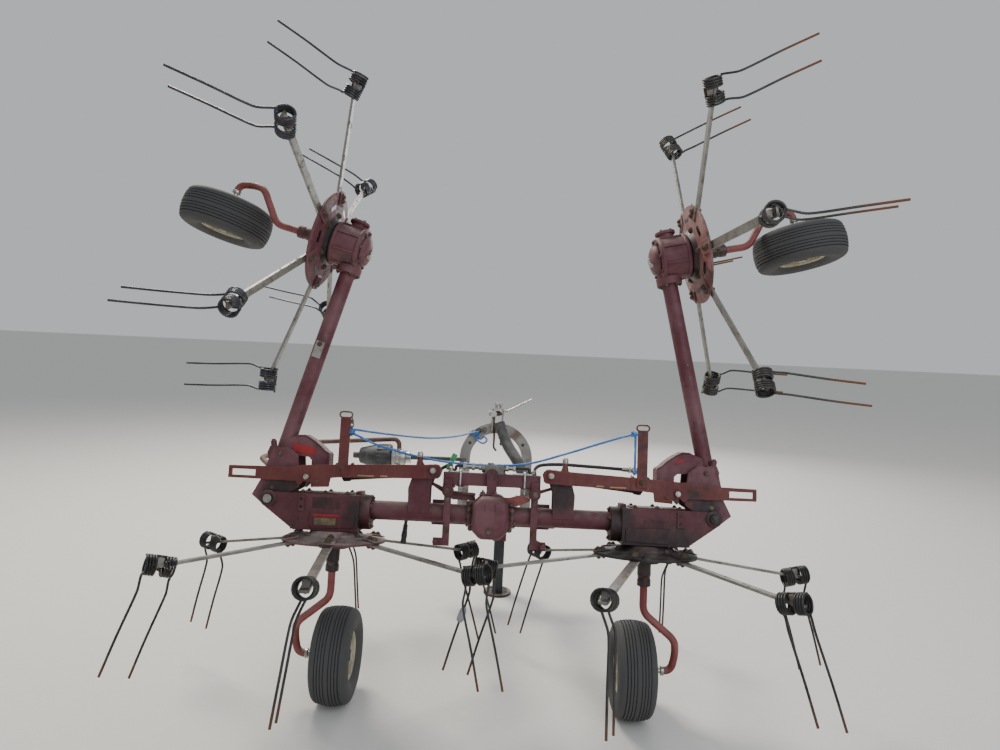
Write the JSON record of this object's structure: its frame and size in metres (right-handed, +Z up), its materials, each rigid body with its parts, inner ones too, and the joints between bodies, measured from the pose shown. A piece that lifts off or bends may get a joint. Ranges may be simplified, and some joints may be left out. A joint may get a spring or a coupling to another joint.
{
  "type": "hay tedder",
  "caption": "Mounted hay tedder parked with its wings folded up: tined rotors on a cross tube, turning wheels, fold hinges and a lifting stand.",
  "frame": {"origin": "centre of the top link pin's bores in the headstock", "axes": "+Y is the way it is pulled, +X is its right side seen from behind, +Z is up"},
  "size_m": [2.853, 2.1744, 2.7534],
  "materials": {
    "maroon_paint": "faded semi-gloss enamel",
    "link_paint": "sun-faded enamel, orange-red at the edges",
    "greasy_paint": "dusty, greasy enamel",
    "bare_steel": "mill steel, lightly rusted",
    "worn_steel": "worn paint over steel, rust spots",
    "spring_steel": "black oxidised spring steel, rusty tips",
    "rim_paint": "aged cream enamel",
    "tyre_rubber": "weathered ribbed tyre",
    "hose_rubber": "matt",
    "guard_plastic": "weathered black plastic",
    "chrome_rod": "hard chrome",
    "barrel_paint": "black enamel",
    "stand_paint": "dark gray enamel, galvanised foot",
    "blue_rope": "braided polypropylene rope"
  },
  "bodies": {
    "frame": {"main_tube": "maroon_paint", "center_gearbox": "maroon_paint", "input_shaft": "worn_steel", "cross_channel": "maroon_paint", "drawbar": "maroon_paint", "arch": "worn_steel", "top_ears": "worn_steel", "guard_hoop": "maroon_paint", "shaft_guard": "guard_plastic", "shaft_yoke": "guard_plastic", "top_rod": "worn_steel", "housing_left": "maroon_paint", "housing_right": "maroon_paint", "link_left": "link_paint", "link_right": "link_paint", "leg_li": "maroon_paint", "leg_ri": "maroon_paint", "rope_top": "blue_rope", "rope_cross": "blue_rope", "rope_tail": "blue_rope", "hose_left": "hose_rubber", "hose_right": "hose_rubber"},
    "stand": {"stand_leg": "stand_paint"},
    "rotor_li": {"hub_li": "greasy_paint", "arms_li": "bare_steel", "tines_li": "spring_steel"},
    "rotor_ri": {"hub_ri": "greasy_paint", "arms_ri": "bare_steel", "tines_ri": "spring_steel"},
    "rotor_lo": {"hub_lo": "greasy_paint", "arms_lo": "bare_steel", "tines_lo": "spring_steel"},
    "rotor_ro": {"hub_ro": "greasy_paint", "arms_ro": "bare_steel", "tines_ro": "spring_steel"},
    "wheel_li": {"tyre_li": "tyre_rubber", "rim_li": "rim_paint"},
    "wheel_ri": {"tyre_ri": "tyre_rubber", "rim_ri": "rim_paint"},
    "wheel_lo": {"tyre_lo": "tyre_rubber", "rim_lo": "rim_paint"},
    "wheel_ro": {"tyre_ro": "tyre_rubber", "rim_ro": "rim_paint"},
    "wing_left": {"boom_left": "maroon_paint", "gearbox_left": "maroon_paint", "leg_lo": "maroon_paint"},
    "wing_right": {"boom_right": "maroon_paint", "gearbox_right": "maroon_paint", "leg_ro": "maroon_paint"},
    "cylinder_left": {"barrel_left": "barrel_paint"},
    "cylinder_right": {"barrel_right": "barrel_paint"},
    "ram_left": {"rod_left": "chrome_rod"},
    "ram_right": {"rod_right": "chrome_rod"}
  },
  "joints": [
    {"name": "rotor_li_spin", "type": "hinge", "parent": "frame", "child": "rotor_li", "pos_m": [-0.625, -1.19298, -0.37351], "axis": [0, 0.1736, 0.9848], "continuous": true},
    {"name": "rotor_ri_spin", "type": "hinge", "parent": "frame", "child": "rotor_ri", "pos_m": [0.625, -1.19298, -0.37351], "axis": [0, 0.1736, 0.9848], "continuous": true},
    {"name": "rotor_lo_spin", "type": "hinge", "parent": "wing_left", "child": "rotor_lo", "pos_m": [-0.72474, -0.98295, 0.81762], "axis": [0.9636, -0.0464, -0.2632], "continuous": true},
    {"name": "rotor_ro_spin", "type": "hinge", "parent": "wing_right", "child": "rotor_ro", "pos_m": [0.7905, -0.98166, 0.82499], "axis": [-0.9781, -0.0361, -0.2048], "continuous": true},
    {"name": "wheel_li_roll", "type": "hinge", "parent": "frame", "child": "wheel_li", "pos_m": [-0.595, -1.21786, -0.86011], "axis": [1, 0, 0], "continuous": true},
    {"name": "wheel_ri_roll", "type": "hinge", "parent": "frame", "child": "wheel_ri", "pos_m": [0.595, -1.21786, -0.86011], "axis": [1, 0, 0], "continuous": true},
    {"name": "wheel_lo_roll", "type": "hinge", "parent": "wing_left", "child": "wheel_lo", "pos_m": [-1.19869, -0.90645, 0.90599], "axis": [-0.2672, -0.1673, -0.949], "continuous": true},
    {"name": "wheel_ro_roll", "type": "hinge", "parent": "wing_right", "child": "wheel_ro", "pos_m": [1.26969, -0.91021, 0.88467], "axis": [-0.2079, 0.1699, 0.9633], "continuous": true},
    {"name": "fold_left", "type": "hinge", "parent": "frame", "child": "wing_left", "pos_m": [-0.88, -1.16919, -0.2386], "axis": [0, -0.9848, 0.1736], "range_deg": [0, 105.5]},
    {"name": "fold_right", "type": "hinge", "parent": "frame", "child": "wing_right", "pos_m": [0.88, -1.16919, -0.2386], "axis": [0, 0.9848, -0.1736], "range_deg": [0, 102]},
    {"name": "cylinder_left_swing", "type": "hinge", "parent": "frame", "child": "cylinder_left", "pos_m": [-0.234, -1.14523, -0.10269], "axis": [0, 0.9848, -0.1736], "range_deg": [0, 3.75]},
    {"name": "cylinder_right_swing", "type": "hinge", "parent": "frame", "child": "cylinder_right", "pos_m": [0.234, -1.14523, -0.10269], "axis": [0, -0.9848, 0.1736], "range_deg": [0, 4.29]},
    {"name": "ram_left_slide", "type": "slide", "parent": "cylinder_left", "child": "ram_left", "axis": [-0.9956, -0.0162, -0.0919], "range_m": [0, 0.27089]},
    {"name": "ram_right_slide", "type": "slide", "parent": "cylinder_right", "child": "ram_right", "axis": [0.9956, -0.0162, -0.0919], "range_m": [0, 0.26339]},
    {"name": "stand_slide", "type": "slide", "parent": "frame", "child": "stand", "axis": [0, 0, 1], "range_m": [0, 0.3]}
  ],
  "couplings": [
    {"joint": "rotor_ri_spin", "follows": "rotor_li_spin", "ratio": -1},
    {"joint": "rotor_lo_spin", "follows": "rotor_li_spin", "ratio": -1},
    {"joint": "rotor_ro_spin", "follows": "rotor_li_spin", "ratio": 1},
    {"joint": "cylinder_left_swing", "follows": "fold_left", "ratio": 0.035415},
    {"joint": "ram_left_slide", "follows": "fold_left", "m_per_rad": 0.14707},
    {"joint": "cylinder_right_swing", "follows": "fold_right", "ratio": 0.041997},
    {"joint": "ram_right_slide", "follows": "fold_right", "m_per_rad": 0.14789}
  ]
}
